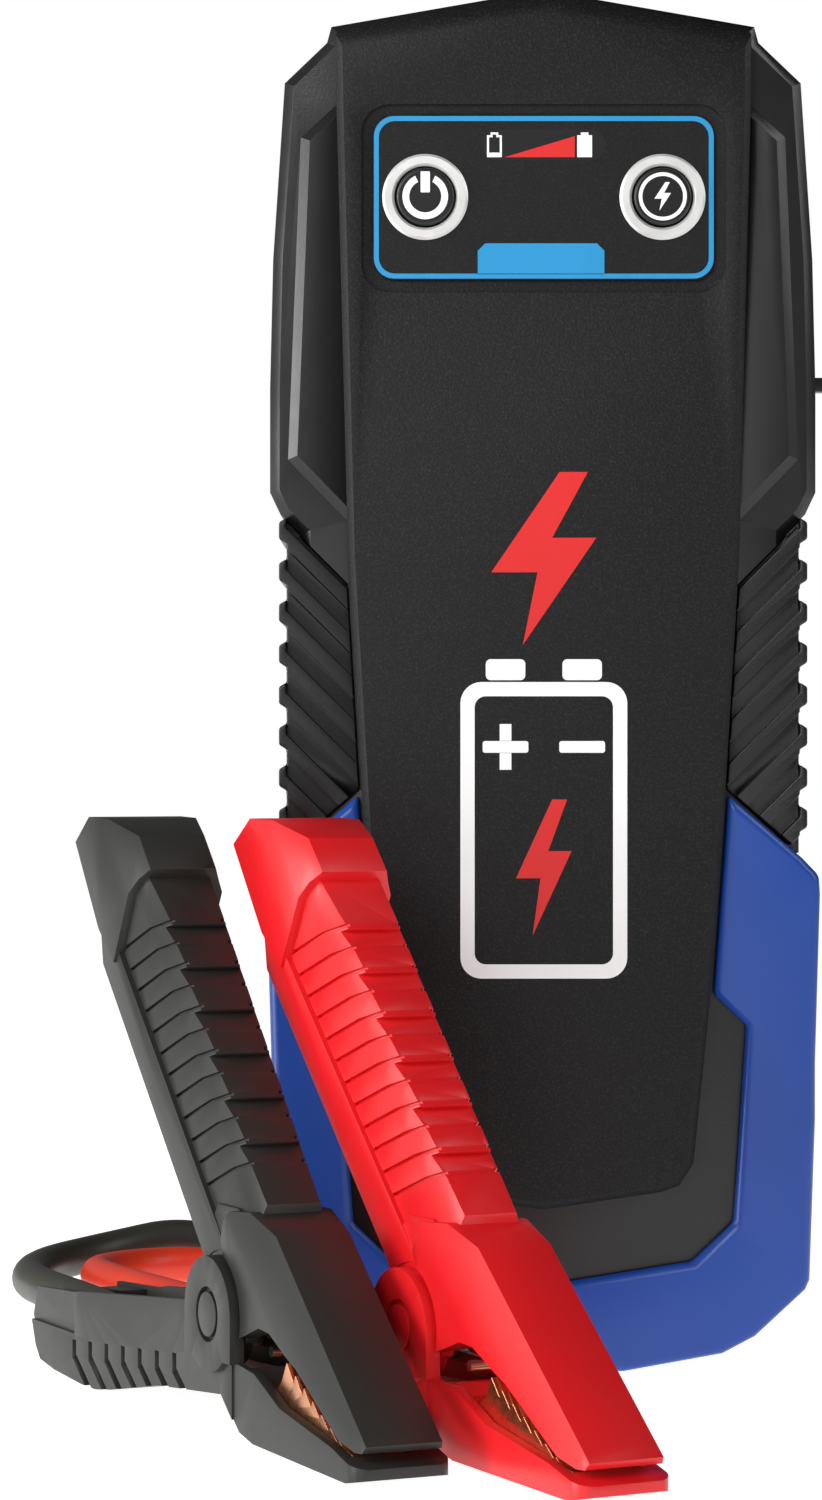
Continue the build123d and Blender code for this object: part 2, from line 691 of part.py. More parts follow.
def make_lower_lever(side):
    """Bottom handle, pivot ears and lower jaw, an open channel on top."""
    with BuildPart() as lever:
        with BuildSketch(side):
            Polygon(*LOWER_PROFILE, align=None)
        extrude(amount=HANDLE_W, both=True)
        # the jaw end is narrower, with rounded tip corners
        for sign in (1, -1):
            with BuildSketch(side.offset(sign * JAW_W)):
                with Locations((30, -12)):
                    Rectangle(46, 20)
            extrude(amount=sign * 2, mode=Mode.SUBTRACT)
        add(tip_cutter(side), mode=Mode.SUBTRACT)
        with BuildSketch(side):
            Circle(8.6)
            with Locations((0, -3.2)):
                Rectangle(17.2, 6.4)
        extrude(amount=EAR_W, both=True)
        with BuildSketch(side):
            Polygon(*CHANNEL, align=None)
        extrude(amount=CHANNEL_W, both=True, mode=Mode.SUBTRACT)
        # bore for the pivot pin, with a counterbore in each ear
        with BuildSketch(side):
            Circle(PIN_R)
        extrude(amount=EAR_W, both=True, mode=Mode.SUBTRACT)
        for sign in (1, -1):
            with BuildSketch(side.offset(sign * EAR_W)):
                Circle(4.1)
            extrude(amount=-sign * 0.9, mode=Mode.SUBTRACT)
        # bed for the lower jaw strip
        with BuildSketch(side):
            Polygon((12, -6), (12, -9.6), (24, -12), (44.5, -15.3), (44.5, -10), align=None)
        extrude(amount=5.9, both=True, mode=Mode.SUBTRACT)
        # cable tab at the back end and the grip's bent grooves, on both sides
        for sign in (1, -1):
            with BuildSketch(side.offset(sign * HANDLE_W)):
                with Locations((-67, -6.8)):
                    Rectangle(20, 6.6)
            extrude(amount=-sign * 0.5, mode=Mode.SUBTRACT)
            with BuildSketch(side.offset(sign * HANDLE_W)):
                for i in range(7):
                    x = -57 + 7 * i
                    top = -11.1 + 0.56 * i
                    with BuildLine():
                        Polyline((x, top), (x, top - 2.6), (x + 8, top - 8))
                    trace(line_width=1.6)
            extrude(amount=-sign * 0.9, mode=Mode.SUBTRACT)
    return lever.part


def make_upper_lever(side, plus):
    """Top handle with its stepped back and end block, the hub and the upper jaw."""
    toothed = RAIL_PROFILE[:4] + [(-40, 60)] + tooth_line() + RAIL_PROFILE[-3:]
    ends = (HANDLE_LOW, HANDLE_HIGH)
    plate_ends = (plate_point(40), plate_point(-30))
    with BuildPart() as lever:
        add(lever_layer(side, toothed, ends, HANDLE_RUN, TOOTH_SECTIONS))
        add(flank_notches(side), mode=Mode.SUBTRACT)
        add(lever_layer(side, toothed, ends, HANDLE_RUN, CORE_SECTIONS))
        add(lever_layer(side, RAIL_PROFILE, ends, HANDLE_RUN, RAIL_SECTIONS))
        add(lever_layer(side, CAP_PROFILE, ends, HANDLE_RUN, CAP_SECTIONS))
        add(lever_layer(side, HEAD_PROFILE, plate_ends, PLATE_RUN, HEAD_SECTIONS))
        add(tip_cutter(side), mode=Mode.SUBTRACT)
        with BuildSketch(side):
            Circle(9.3)
        extrude(amount=12, both=True, mode=Mode.SUBTRACT)
        with BuildSketch(side):
            Circle(8)
            Polygon((-5, 4), (-6.6, 9.5), (-2, 16), (6, 16), (12, 4), (8.6, -3.3), (6.5, -4), align=None)
        extrude(amount=HUB_W, both=True)
        # spring bay and the hollow underside of the handle
        with BuildSketch(side):
            Circle(6.4)
            Polygon((-9, 2), (-9, -9), (12, -9), (12, -3.2), (5, 2), align=None)
            Polygon((-1, 4), (-46, 46), (-46, 40), (-8, 0), align=None)
            Polygon((-7, 14), (-38, 47), (-46, 46), (-5, 2), align=None)
        extrude(amount=BAY_W, both=True, mode=Mode.SUBTRACT)
        with BuildSketch(side):
            Circle(PIN_R + 0.06)
        extrude(amount=HUB_W, both=True, mode=Mode.SUBTRACT)
        # bed for the upper jaw strip
        with BuildSketch(side):
            Polygon((18, -3), (18, 1.2), (28.6, -2.6), (36.2, -7.2), (44.5, -11.8), (44.5, -15), align=None)
        extrude(amount=5.9, both=True, mode=Mode.SUBTRACT)
        # two outlined fields and a sign, engraved in the head's flat face
        add(field_groove(side, 15.8, 20.6, 0), mode=Mode.SUBTRACT)
        add(field_groove(side, 31.2, 4.8, -1), mode=Mode.SUBTRACT)
        add(polarity_sign(side, plus), mode=Mode.SUBTRACT)
    return lever.part


def make_lower_jaw(side):
    """Copper strip with a toothed cheek on each side, lying in the lower jaw."""
    teeth = [(20.2, -7.4)]
    for i in range(7):
        teeth.append((22 + 3 * i, -4.4 - 1.42 * i))
        teeth.append((24.4 + 3 * i, -7 - 1.25 * i))
    with BuildPart() as jaw:
        with BuildSketch(side):
            Polygon((12, -9.6), (24, -12), (44.5, -15.3), (44.5, -14.3), (24, -11), (12, -8.6), align=None)
        extrude(amount=5.8, both=True)
        for offset in (4.8, -5.8):
            with BuildSketch(side.offset(offset)):
                Polygon((17, -9.9), *teeth, (44.4, -15), (24, -11.6), (17, -10.3), align=None)
            extrude(amount=1)
    return jaw.part


def strip_edge(x):
    """Height of the upper jaw strip's lower face."""
    if x < 28.4:
        return 0.1 - 0.36 * (x - 18.2)
    return -3.6 - 0.57 * (x - 28.4)


def make_upper_jaw(side):
    """Copper strip with two smaller toothed ribs, under the upper jaw."""
    with BuildPart() as jaw:
        with BuildSketch(side):
            Polygon(
                (18.2, 1.1), (28.6, -2.6), (36.2, -7.2), (44.5, -11.8), (44.5, -12.8),
                (36, -8.2), (28.4, -3.6), (18.2, 0.1),
                align=None,
            )
        extrude(amount=5.8, both=True)
        for offset in (3.2, -4.2):
            with BuildSketch(side.offset(offset)):
                for i in range(7):
                    x = 20.4 + 3.2 * i
                    Polygon(
                        (x - 1.6, strip_edge(x - 1.6) + 0.5),
                        (x, strip_edge(x) - 1.3),
                        (x + 1.6, strip_edge(x + 1.6) + 0.5),
                        align=None,
                    )
            extrude(amount=1)
    return jaw.part


def make_pivot_pin(side):
    with BuildPart() as pin:
        with BuildSketch(side):
            Circle(PIN_R)
        extrude(amount=8.1, both=True)
        for plane, depth in ((side.offset(8), 0.9), (side.offset(-8), -0.9)):
            with BuildSketch(plane):
                Circle(3.3)
            extrude(amount=depth)
    return pin.part


def make_spring(side):
    """Torsion spring: four turns round the pin, one leg under each handle."""
    wire = 0.75
    radius = 4.3
    with BuildPart() as spring:
        for i in range(4):
            with BuildSketch(side.offset(-2.7 + 1.8 * i)):
                Circle(radius + wire)
                Circle(radius - wire, mode=Mode.SUBTRACT)
            extrude(amount=1.7)
        with BuildSketch(side):
            Circle(radius + 0.3)
            Circle(radius - 0.3, mode=Mode.SUBTRACT)
        extrude(amount=2.7, both=True)
        with BuildSketch(side):
            with BuildLine():
                Polyline((0, -4.3), (12.2, -4.3))
            trace(line_width=1.5)
        extrude(amount=0.75, both=True)
        with BuildSketch(side.offset(-4)):
            with Locations((12.4, -4.3)):
                Circle(0.75)
        extrude(amount=8)
        with BuildSketch(side.offset(-3.2)):
            with BuildLine():
                Polyline((-3, 3), (-20, 20.6))
            trace(line_width=1.5)
        extrude(amount=1.5)
    return spring.part


def make_crimp(side):
    """Copper barrel on the cable's end, with a tongue that runs to the jaw."""
    with BuildPart() as crimp:
        with BuildSketch(across(side, -41.9, -8.8, (1, -0.058))):
            Circle(CABLE_R)
        extrude(amount=12)
        with BuildSketch(side):
            Polygon((-32, -11.6), (-32, -8.5), (-22, -9.6), (2.9, -8.6), (10.8, -8.5),
                    (10.8, -9.3), (2.9, -9.5), (-22, -11.5), align=None)
        extrude(amount=3.6, both=True)
    return crimp.part


def make_strain_relief(side):
    """Block that fills the channel's back end and grips the cable."""
    with BuildPart() as relief:
        with BuildSketch(side):
            Polygon((-73.8, -12.9), (-70, -13.3), (-62, -14.4), (-62, -4.4), (-73.8, -5.2), align=None)
        extrude(amount=CHANNEL_W, both=True)
        with BuildSketch(across(side, -60, -7.4, (-1, 0))):
            Circle(CABLE_R + 0.3)
        extrude(amount=16, mode=Mode.SUBTRACT)
    return relief.part


for colour, pin, yaw in (("black", BLACK_PIN, BLACK_YAW), ("red", RED_PIN, RED_YAW)):
    side = clamp_side(pin, yaw)
    save(make_lower_lever(side), f"{colour}_lower_lever")
    save(make_upper_lever(side, colour == "red"), f"{colour}_upper_lever")
    save(make_lower_jaw(side), f"{colour}_lower_jaw")
    save(make_upper_jaw(side), f"{colour}_upper_jaw")
    save(make_pivot_pin(side), f"{colour}_pivot_pin")
    save(make_spring(side), f"{colour}_spring")
    save(make_crimp(side), f"{colour}_crimp")
    save(make_strain_relief(side), f"{colour}_strain_relief")

# -------------------------------------------------------------- cables, plug
# Each route leaves its clamp's handle, turns round on the floor beside the
# pack and comes back behind it to the plug.
BLACK_ROUTE = [
    (-61.7, -36.2, 9.0), (-72.1, -14.6, 10.4), (-83.7, 9.8, 10.4),
    (-88.0, 28.5, 9.8), (-86.5, 46.0, 9.8), (-77.0, 60.0, 10.6),
    (-61.0, 67.2, 13.4), (-43.0, BLACK_Y, PLUG_Z), (PLUG_X, BLACK_Y, PLUG_Z),
]
RED_ROUTE = [
    (-35.4, -50.9, 9.0), (-46.7, -29.7, 10.4), (-62.4, 0.2, 10.0),
    (-76.1, 29.5, 9.6), (-75.8, 41.5, 9.2), (-69.5, 51.7, 8.8),
    (-58.8, 57.2, 8.6), (-43.0, RED_Y, PLUG_Z), (PLUG_X, RED_Y, PLUG_Z),
]


def corner_radii(route):
    """The largest tangent arc that each corner's two runs leave room for."""
    points = [Vector(*point) for point in route]
    radii = []
    for before, corner, after in zip(points, points[1:], points[2:]):
        arrive = corner - before
        leave = after - corner
        half_turn = math.radians(arrive.get_angle(leave)) / 2
        radii.append(0.45 * min(arrive.length, leave.length) / math.tan(half_turn))
    return radii


def make_cable(route):
    radii = corner_radii(route)
    print("corner radii", [round(radius, 1) for radius in radii])
    with BuildPart() as cable:
        with BuildLine() as path:
            FilletPolyline(*route, radius=radii)
        with BuildSketch(Plane(origin=path.line @ 0, z_dir=path.line % 0)):
            Circle(CABLE_R)
        sweep()
    length = sum(edge.length for edge in path.edges())
    wanted = math.pi * CABLE_R**2 * length
    print("cable", round(length, 1), "volume ratio", round(cable.part.volume / wanted, 4))
    return cable.part


save(make_cable(BLACK_ROUTE), "black_cable")
save(make_cable(RED_ROUTE), "red_cable")

PLUG_FACE = Plane(origin=(0, (RED_Y + BLACK_Y) / 2, PLUG_Z), x_dir=(0, 1, 0), z_dir=(1, 0, 0))

with BuildPart() as plug_boot:
    with BuildSketch(PLUG_FACE.offset(PLUG_X)):
        RectangleRounded(18.6, 8.4, 4)
    with BuildSketch(PLUG_FACE.offset(-14)):
        RectangleRounded(19.6, 10.4, 4)
    loft()
save(plug_boot.part, "plug_boot")

with BuildPart() as plug_housing:
    with BuildSketch(PLUG_FACE.offset(-14)):
        RectangleRounded(20.4, 10.8, 2.4)
    extrude(amount=10)
    with BuildSketch(PLUG_FACE.offset(-4)):
        RectangleRounded(18, 9, 2)
    extrude(amount=14)
    chamfer(plug_housing.edges().group_by(Axis.X)[-1], 0.5)
    with BuildSketch(PLUG_FACE.offset(10)):
        with Locations((-4.6, 0), (4.6, 0)):
            Circle(3.1)
    extrude(amount=-20, mode=Mode.SUBTRACT)
save(plug_housing.part, "plug_housing")

with BuildPart() as plug_contacts:
    with BuildSketch(PLUG_FACE.offset(-10)):
        with Locations((-4.6, 0), (4.6, 0)):
            Circle(3.1)
            Circle(1.9, mode=Mode.SUBTRACT)
    extrude(amount=17)
save(plug_contacts.part, "plug_contacts")
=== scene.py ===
import bpy
import json
import math
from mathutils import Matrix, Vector


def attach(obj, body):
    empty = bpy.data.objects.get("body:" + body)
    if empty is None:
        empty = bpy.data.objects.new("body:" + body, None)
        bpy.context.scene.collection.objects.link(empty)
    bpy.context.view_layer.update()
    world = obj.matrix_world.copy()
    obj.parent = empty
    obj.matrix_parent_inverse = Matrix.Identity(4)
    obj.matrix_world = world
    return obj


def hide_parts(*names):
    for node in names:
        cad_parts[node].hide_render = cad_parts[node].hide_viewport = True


MM = 0.001
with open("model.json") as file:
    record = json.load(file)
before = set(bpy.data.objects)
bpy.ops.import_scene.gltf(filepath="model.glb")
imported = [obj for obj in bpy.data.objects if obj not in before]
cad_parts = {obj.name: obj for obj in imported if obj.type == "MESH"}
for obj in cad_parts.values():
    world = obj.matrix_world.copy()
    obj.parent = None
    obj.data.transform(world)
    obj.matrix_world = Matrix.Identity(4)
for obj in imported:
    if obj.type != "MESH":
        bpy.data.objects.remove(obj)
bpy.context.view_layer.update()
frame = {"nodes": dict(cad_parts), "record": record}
nodes = frame["nodes"]
scene = bpy.context.scene

# ------------------------------------------------------- sizes in millimetres
PANEL_FACE = -18.0  # y of the raised panel
OVERLAY_FACE = -18.0  # y of the control overlay
CAP_FACE = -18.8  # y of both button caps
BUTTON_X = 19.2
BUTTON_Z = 190.5
GAUGE_LOW = 196.95  # foot of the gauge's icons
SIGN_Z = 88  # middle of the battery sign on the panel
POLE_X = 6.2  # its two poles stand this far from the middle
PANEL_INK = 0.08  # thickness of the printing
OVERLAY_INK = 0.06
CAP_INK = 0.05
CABLE_D = 6.5
WELD = 0.002
FLOOR_HALF = 3000

# gloss of faces that mirror less than bare plastic
MATT = 0.28
SATIN = 0.35

# -------------------------------------------------------------------- camera
lens = bpy.data.cameras.new("camera")
lens.lens = 100
lens.sensor_width = 36
lens.clip_end = 20
camera = bpy.data.objects.new("camera", lens)
camera.location = (-21.5 * MM, -692.4 * MM, 101 * MM)
camera.rotation_euler = (math.radians(90), 0, 0)
scene.collection.objects.link(camera)
scene.camera = camera


# ----------------------------------------------------------- material helpers
def socket(shader, name, value):
    shader.inputs[name].default_value = value


def new_material(name, colour, roughness, **extra):
    """A Principled material with its constants set on the shader itself."""
    material = bpy.data.materials.new(name)
    material.use_nodes = True
    shader = material.node_tree.nodes["Principled BSDF"]
    socket(shader, "Base Color", (*colour, 1))
    socket(shader, "Roughness", roughness)
    for key, value in extra.items():
        socket(shader, key.replace("_", " "), value)
    return material


def add_noise(material, scale, detail):
    """A noise in the object's own metres; scale is in cycles per metre."""
    tree = material.node_tree
    place = tree.nodes.new("ShaderNodeTexCoord")
    noise = tree.nodes.new("ShaderNodeTexNoise")
    noise.inputs["Scale"].default_value = scale
    noise.inputs["Detail"].default_value = detail
    tree.links.new(place.outputs["Object"], noise.inputs["Vector"])
    return noise.outputs["Fac"]


def vary_colour(material, fac, dark, light, low=0.35, high=0.65):
    tree = material.node_tree
    ramp = tree.nodes.new("ShaderNodeValToRGB")
    ramp.color_ramp.elements[0].position = low
    ramp.color_ramp.elements[1].position = high
    ramp.color_ramp.elements[0].color = (*dark, 1)
    ramp.color_ramp.elements[1].color = (*light, 1)
    tree.links.new(fac, ramp.inputs["Fac"])
    shader = tree.nodes["Principled BSDF"]
    tree.links.new(ramp.outputs["Color"], shader.inputs["Base Color"])


def vary_roughness(material, fac, low, high):
    tree = material.node_tree
    span = tree.nodes.new("ShaderNodeMapRange")
    span.inputs["To Min"].default_value = low
    span.inputs["To Max"].default_value = high
    tree.links.new(fac, span.inputs["Value"])
    shader = tree.nodes["Principled BSDF"]
    tree.links.new(span.outputs["Result"], shader.inputs["Roughness"])


def add_bump(material, fac, strength, depth):
    """Bump of a given depth in metres; several calls add up."""
    tree = material.node_tree
    bump = tree.nodes.new("ShaderNodeBump")
    bump.inputs["Strength"].default_value = strength
    bump.inputs["Distance"].default_value = depth
    tree.links.new(fac, bump.inputs["Height"])
    shader = tree.nodes["Principled BSDF"]
    links = shader.inputs["Normal"].links
    if links:
        tree.links.new(links[0].from_socket, bump.inputs["Normal"])
    tree.links.new(bump.outputs["Normal"], shader.inputs["Normal"])


def plastic(name, colour, roughness, grain, grain_depth, spread=0.12, **extra):
    """Moulded plastic: a fine grain, faint colour drift and uneven gloss."""
    material = new_material(name, colour, roughness, **extra)
    drift = add_noise(material, 35, 4)
    dark = tuple(c * (1 - spread) for c in colour)
    light = tuple(min(1, c * (1 + spread)) for c in colour)
    vary_colour(material, drift, dark, light)
    vary_roughness(material, add_noise(material, 160, 5), roughness - 0.05, roughness + 0.06)
    add_bump(material, add_noise(material, grain, 2), 0.5, grain_depth)
    return material


def metal(name, colour, roughness, metallic=1.0):
    """Plated metal with a fine grain and a few duller patches."""
    material = new_material(name, colour, roughness, Metallic=metallic)
    fine = add_noise(material, 900, 3)
    vary_roughness(material, fine, roughness - 0.06, roughness + 0.12)
    add_bump(material, fine, 0.25, 0.00002)
    drift = add_noise(material, 120, 4)
    vary_colour(material, drift, tuple(c * 0.82 for c in colour), colour)
    return material


def stipple(material, dark, light, scale, low, high, depth):
    """Fine light specks on a dark moulding, each a tiny raised point."""
    speck = add_noise(material, scale, 2)
    vary_colour(material, speck, dark, light, low, high)
    add_bump(material, speck, 0.6, depth)


materials = {
    "shell_black": plastic("shell_black", (0.0060, 0.0060, 0.0066), 0.30, 2600, 0.00003),
    "panel_black": plastic(
        "panel_black", (0.010, 0.010, 0.011), 0.50, 2100, 0.00008, Specular_IOR_Level=MATT,
    ),
    "grip_black": plastic("grip_black", (0.0065, 0.0065, 0.0070), 0.36, 1800, 0.00003),
    "bumper_blue": plastic("bumper_blue", (0.009, 0.058, 0.33), 0.34, 1500, 0.00002, 0.06),
    "overlay_black": plastic(
        "overlay_black", (0.010, 0.010, 0.011), 0.42, 2600, 0.00002, Specular_IOR_Level=MATT,
    ),
    "button_black": plastic("button_black", (0.005, 0.005, 0.006), 0.32, 2500, 0.00001),
    "ring_silver": metal("ring_silver", (0.86, 0.86, 0.84), 0.30, metallic=0.45),
    "window_clear": plastic(
        "window_clear", (0.010, 0.010, 0.011), 0.42, 2600, 0.00002, Specular_IOR_Level=MATT,
    ),
    "clamp_black": plastic(
        "clamp_black", (0.026, 0.027, 0.024), 0.42, 1900, 0.00003, 0.08, Specular_IOR_Level=SATIN,
    ),
    "clamp_red": plastic("clamp_red", (0.74, 0.010, 0.014), 0.34, 1700, 0.00002, 0.05),
    "copper": metal("copper", (0.84, 0.38, 0.20), 0.26),
    "steel": metal("steel", (0.78, 0.78, 0.79), 0.20),
    "cable_black": plastic("cable_black", (0.034, 0.033, 0.024), 0.40, 900, 0.00003),
    "cable_red": plastic("cable_red", (0.82, 0.045, 0.014), 0.38, 900, 0.00003, 0.07),
    "plug_black": plastic("plug_black", (0.012, 0.012, 0.013), 0.34, 2200, 0.00003),
    "board_green": plastic("board_green", (0.010, 0.13, 0.045), 0.4, 900, 0.00004),
    "board_part": plastic("board_part", (0.03, 0.03, 0.033), 0.45, 1500, 0.00003),
    "cell_silver": metal("cell_silver", (0.60, 0.61, 0.63), 0.35),
    "tray_grey": plastic("tray_grey", (0.14, 0.15, 0.16), 0.5, 1500, 0.00004),
    "label_grey": plastic("label_grey", (0.42, 0.43, 0.44), 0.45, 900, 0.00001),
}
SPECKS = 2900  # cycles per metre
stipple(
    materials["panel_black"], (0.0035, 0.0035, 0.0038), (0.022, 0.022, 0.023),
    SPECKS, 0.50, 0.80, 0.00006,
)
stipple(
    materials["grip_black"], (0.0035, 0.0035, 0.0038), (0.014, 0.014, 0.015),
    SPECKS, 0.52, 0.80, 0.00004,
)
stipple(
    materials["overlay_black"], (0.0050, 0.0050, 0.0055), (0.017, 0.017, 0.018),
    SPECKS, 0.50, 0.80, 0.00002,
)
ink_white = plastic("ink_white", (0.88, 0.89, 0.89), 0.4, 2600, 0.00002, 0.03)
ink_red = plastic("ink_red", (0.66, 0.012, 0.012), 0.4, 2600, 0.00002, 0.05)
ink_blue = plastic("ink_blue", (0.016, 0.27, 0.56), 0.35, 2600, 0.00001, 0.04)

slot_of = {entry["node"]: entry["material_slot"] for entry in frame["record"]["subparts"]}
for node_name, node in nodes.items():
    node.data.materials.clear()
    node.data.materials.append(materials[slot_of[node_name]])


# --------------------------------------------------------------- mesh helpers
def soften(piece, width, join=WELD):
    """Rounds the moulded edges by a width in mm.

    Points closer than join are welded first, so that no tiny edge limits the rounding.
    """
    weld = piece.modifiers.new("weld", "WELD")
    weld.merge_threshold = join * MM
    bevel = piece.modifiers.new("bevel", "BEVEL")
    bevel.width = width * MM
    bevel.segments = 3
    bevel.limit_method = "ANGLE"
    bevel.angle_limit = math.radians(28)
    bevel.miter_outer = "MITER_ARC"
    bevel.use_clamp_overlap = True
    bevel.harden_normals = True
    for face in piece.data.polygons:
        face.use_smooth = True


def link(name, mesh, material, body):
    piece = bpy.data.objects.new(name, mesh)
    scene.collection.objects.link(piece)
    mesh.materials.clear()
    mesh.materials.append(material)
    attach(piece, body)


def printed(name, loops, y, depth, material, body):
    """A thin flat piece in the plane of the panel, from closed (x, z) loops in mm.

    Loops inside another loop are holes. Its back is at y and it stands depth
    towards the front.
    """
    curve = bpy.data.curves.new(name, "CURVE")
    curve.dimensions = "2D"
    curve.fill_mode = "BOTH"
    curve.extrude = depth * MM / 2
    for loop in loops:
        spline = curve.splines.new("POLY")
        spline.points.add(len(loop) - 1)
        for point, (x, z) in zip(spline.points, loop):
            point.co = (x * MM, z * MM, 0, 1)
        spline.use_cyclic_u = True
    holder = bpy.data.objects.new(name + "_curve", curve)
    scene.collection.objects.link(holder)
    bpy.context.view_layer.update()
    graph = bpy.context.evaluated_depsgraph_get()
    mesh = bpy.data.meshes.new_from_object(holder.evaluated_get(graph))
    bpy.data.objects.remove(holder)
    for vertex in mesh.vertices:
        x, z, out = vertex.co
        vertex.co = (x, (y - depth / 2) * MM - out, z)
    mesh.name = name
    link(name, mesh, material, body)


def rounded(cx, cz, width, height, radius, steps=8):
    """A rectangle with rounded corners, about its centre."""
    points = []
    corners = ((1, 1, 0), (-1, 1, 90), (-1, -1, 180), (1, -1, 270))
    for side_x, side_z, start in corners:
        for step in range(steps + 1):
            angle = math.radians(start + 90 * step / steps)
            x = cx + side_x * (width / 2 - radius) + radius * math.cos(angle)
            z = cz + side_z * (height / 2 - radius) + radius * math.sin(angle)
            points.append((x, z))
    return points


def rectangle(cx, cz, width, height):
    half = width / 2
    rise = height / 2
    return [(cx - half, cz - rise), (cx + half, cz - rise), (cx + half, cz + rise), (cx - half, cz + rise)]


def circle(cx, cz, radius):
    steps = 48
    turn = 2 * math.pi / steps
    return [(cx + radius * math.cos(i * turn), cz + radius * math.sin(i * turn)) for i in range(steps)]


def arc_band(cx, cz, inner, outer, start, end):
    """A ring cut open, from start to end in degrees."""
    steps = 30
    angles = [math.radians(start + (end - start) * i / steps) for i in range(steps + 1)]
    out = [(cx + outer * math.cos(a), cz + outer * math.sin(a)) for a in angles]
    back = [(cx + inner * math.cos(a), cz + inner * math.sin(a)) for a in reversed(angles)]
    return out + back


def bolt(cx, cz, width, height):
    """A generic lightning flash that fits a box."""
    shape = (
        (0.15, 0.5), (-0.5, -0.08), (-0.06, -0.08), (-0.2, -0.5),
        (0.5, 0.12), (0.08, 0.12), (0.42, 0.5),
    )
    return [(cx + width * x, cz + height * z) for x, z in shape]


def battery(cx, low, width, height, inset=0.0):
    """Outline of a small battery with its terminal on top."""
    half = width / 2 - inset
    nub = 0.62 - inset
    top = low + height - inset
    neck = top - 0.45
    base = low + inset
    return [
        (cx - half, base), (cx + half, base), (cx + half, neck), (cx + nub, neck),
        (cx + nub, top), (cx - nub, top), (cx - nub, neck), (cx - half, neck),
    ]


# --------------------------------------------------------------- CAD finishes
for name in ("front_shell", "rear_shell", "front_panel"):
    soften(nodes[name], 0.4)
soften(nodes["lower_bumper"], 0.6)
for name in ("left_grip", "right_grip"):
    soften(nodes[name], 0.35)
for name in ("port_cover", "port_bezel", "plug_boot", "plug_housing"):
    soften(nodes[name], 0.3)
for colour in ("black", "red"):
    soften(nodes[f"{colour}_upper_lever"], 0.45, join=0.2)
    soften(nodes[f"{colour}_lower_lever"], 0.45, join=0.2)
    for part in ("upper_jaw", "lower_jaw", "crimp", "strain_relief", "pivot_pin"):
        soften(nodes[f"{colour}_{part}"], 0.15)

# ------------------------------------------------------------------- controls
def print_overlay():
    """Border line and blank tab of the control overlay."""
    border = [rounded(0, 190.45, 55.0, 26.3, 3.3), rounded(0, 190.45, 53.4, 24.7, 2.6)]
    printed("overlay_border", border, OVERLAY_FACE, OVERLAY_INK, ink_blue, "pack")
    tab = [(-10.7, 178), (9.8, 178), (9.8, 181.8), (8.6, 183), (-9.5, 183), (-10.7, 181.8)]
    printed("overlay_tab", [tab], OVERLAY_FACE, OVERLAY_INK, ink_blue, "pack")


def print_gauge():
    """Empty and full battery icons, with a wedge that grows between them."""
    icons = [
        battery(-8.0, GAUGE_LOW, 2.4, 4.0), battery(-8.0, GAUGE_LOW + 0.4, 2.4, 3.6, 0.33),
        battery(6.6, GAUGE_LOW, 2.4, 4.0),
    ]
    printed("gauge_icons", icons, OVERLAY_FACE, OVERLAY_INK, ink_white, "pack")
    wedge = [(-6.3, GAUGE_LOW), (5.0, GAUGE_LOW), (5.0, GAUGE_LOW + 3.4)]
    printed("gauge_wedge", [wedge], OVERLAY_FACE, OVERLAY_INK, ink_red, "pack")


def print_buttons():
    """Power sign on the left cap, flash in a ring on the right one."""
    power = [
        arc_band(-BUTTON_X, BUTTON_Z, 2.6, 3.7, 116, 424),
        rounded(-BUTTON_X, BUTTON_Z + 2.35, 1.5, 3.4, 0.15, 4),
    ]
    printed("power_icon", power, CAP_FACE, CAP_INK, ink_white, "power_button")
    boost = [
        circle(BUTTON_X, BUTTON_Z, 3.9), circle(BUTTON_X, BUTTON_Z, 3.3),
        bolt(BUTTON_X, BUTTON_Z, 2.7, 4.6),
    ]
    printed("boost_icon", boost, CAP_FACE, CAP_INK, ink_white, "boost_button")


def print_panel_sign():
    """Generic battery and flash sign, in place of any lettering on the panel."""
    case = [rounded(0, SIGN_Z, 27, 48, 3.4), rounded(0, SIGN_Z, 22.4, 43.4, 1.8)]
    poles = [rounded(x, SIGN_Z + 26, 6.4, 3.4, 0.8) for x in (-POLE_X, POLE_X)]
    bars = [rounded(x, SIGN_Z + 13.5, 7.4, 1.9, 0.4) for x in (POLE_X, -POLE_X)]
    upright = [rectangle(-POLE_X, SIGN_Z + 13.5 + rise, 1.9, 2.7) for rise in (-2.35, 2.35)]
    for name, loops, ink in (
        ("panel_battery_sign", case + poles + bars, ink_white),
        ("panel_plus", upright, ink_white),
        ("panel_flash", [bolt(0, SIGN_Z + 44, 17, 28)], ink_red),
        ("panel_flash_small", [bolt(0, SIGN_Z - 6, 9, 22)], ink_red),
    ):
        printed(name, loops, PANEL_FACE, PANEL_INK, ink, "pack")


print_overlay()
print_gauge()
print_buttons()
print_panel_sign()

# --------------------------------------------------------------------- cables
BLACK_ROUTE = [
    (-61.7, -36.2, 9.0), (-72.1, -14.6, 10.4), (-83.7, 9.8, 10.4),
    (-88.0, 28.5, 9.8), (-86.5, 46.0, 9.8), (-77.0, 60.0, 10.6),
    (-61.0, 67.2, 13.4), (-43.0, 67.0, 5.5), (-26.0, 67.0, 5.5),
]
RED_ROUTE = [
    (-35.4, -50.9, 9.0), (-46.7, -29.7, 10.4), (-62.4, 0.2, 10.0),
    (-76.1, 29.5, 9.6), (-75.8, 41.5, 9.2), (-69.5, 51.7, 8.8),
    (-58.8, 57.2, 8.6), (-43.0, 57.0, 5.5), (-26.0, 57.0, 5.5),
]


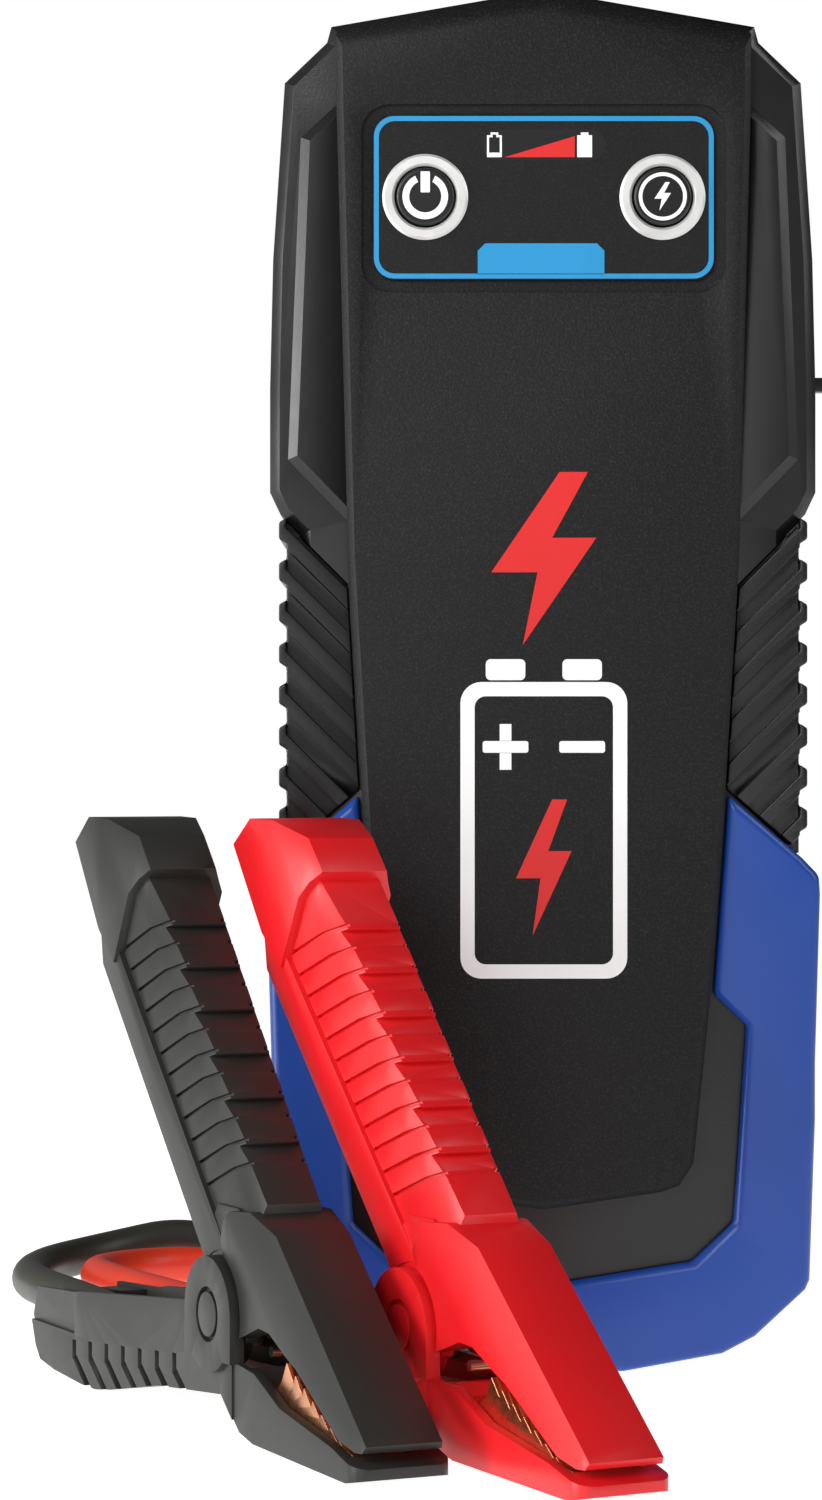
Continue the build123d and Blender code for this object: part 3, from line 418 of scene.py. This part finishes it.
def make_cable(colour, route):
    """A round lead on one smooth line through its route."""
    curve = bpy.data.curves.new(f"{colour}_lead", "CURVE")
    curve.dimensions = "3D"
    curve.resolution_u = 24
    curve.bevel_depth = CABLE_D * MM / 2
    curve.bevel_resolution = 8
    curve.use_fill_caps = True
    spline = curve.splines.new("NURBS")
    spline.points.add(len(route) - 1)
    for point, place in zip(spline.points, route):
        point.co = (*(value * MM for value in place), 1)
    spline.order_u = 3
    spline.use_endpoint_u = True
    piece = bpy.data.objects.new(f"{colour}_lead", curve)
    scene.collection.objects.link(piece)
    curve.materials.append(materials[f"cable_{colour}"])
    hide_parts(f"{colour}_cable")
    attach(piece, "leads")
    return piece


black_lead = make_cable("black", BLACK_ROUTE)
red_lead = make_cable("red", RED_ROUTE)

# ---------------------------------------------------------------- set, lights
def make_floor():
    half = FLOOR_HALF * MM
    mesh = bpy.data.meshes.new("floor")
    corners = [(-half, -half, 0), (half, -half, 0), (half, half, 0), (-half, half, 0)]
    mesh.from_pydata(corners, [], [(0, 1, 2, 3)])
    floor = bpy.data.objects.new("floor", mesh)
    pale = new_material(
        "floor_pale", (0.5, 0.5, 0.5), 0.9, Emission_Color=(1, 1, 1, 1), Emission_Strength=0.95,
    )
    mesh.materials.append(pale)
    scene.collection.objects.link(floor)


def make_world():
    """The backdrop is white to the eye, and lights the object mostly from the left."""
    world = bpy.data.worlds.new("studio")
    world.use_nodes = True
    tree = world.node_tree
    shown = tree.nodes["Background"]
    shown.inputs["Color"].default_value = (1, 1, 1, 1)
    shown.inputs["Strength"].default_value = 1.0
    lighting = tree.nodes.new("ShaderNodeBackground")
    lighting.inputs["Color"].default_value = (1, 1, 1, 1)
    direction = tree.nodes.new("ShaderNodeTexCoord")
    lean = tree.nodes.new("ShaderNodeVectorMath")
    lean.operation = "DOT_PRODUCT"
    lean.inputs[1].default_value = (-0.72, -0.30, -0.62)
    spread = tree.nodes.new("ShaderNodeMapRange")
    spread.inputs["From Min"].default_value = -0.8
    spread.inputs["From Max"].default_value = 0.9
    spread.inputs["To Min"].default_value = 0.02
    spread.inputs["To Max"].default_value = 0.62
    seen = tree.nodes.new("ShaderNodeLightPath")
    choose = tree.nodes.new("ShaderNodeMixShader")
    tree.links.new(direction.outputs["Generated"], lean.inputs[0])
    tree.links.new(lean.outputs["Value"], spread.inputs["Value"])
    tree.links.new(spread.outputs["Result"], lighting.inputs["Strength"])
    tree.links.new(seen.outputs["Is Camera Ray"], choose.inputs[0])
    tree.links.new(lighting.outputs[0], choose.inputs[1])
    tree.links.new(shown.outputs[0], choose.inputs[2])
    tree.links.new(choose.outputs[0], tree.nodes["World Output"].inputs["Surface"])
    scene.world = world


def add_light(name, place, target, size, power):
    """A soft box that faces its target; places and sizes are in metres."""
    light = bpy.data.lights.new(name, "AREA")
    light.shape = "RECTANGLE"
    light.size = size[0]
    light.size_y = size[1]
    light.energy = power
    lamp = bpy.data.objects.new(name, light)
    lamp.location = place
    lamp.rotation_euler = (Vector(target) - Vector(place)).to_track_quat("-Z", "Y").to_euler()
    scene.collection.objects.link(lamp)


make_floor()
make_world()
add_light("key", (-1.0, -0.42, 0.34), (-0.03, -0.04, 0.08), (0.4, 0.7), 8.5)
add_light("front", (-0.45, -0.95, 0.62), (0, 0, 0.1), (0.5, 0.4), 4.2)
add_light("edge", (0.75, -0.15, 0.55), (0, 0, 0.12), (0.3, 0.6), 2)
scene.view_settings.view_transform = "Standard"
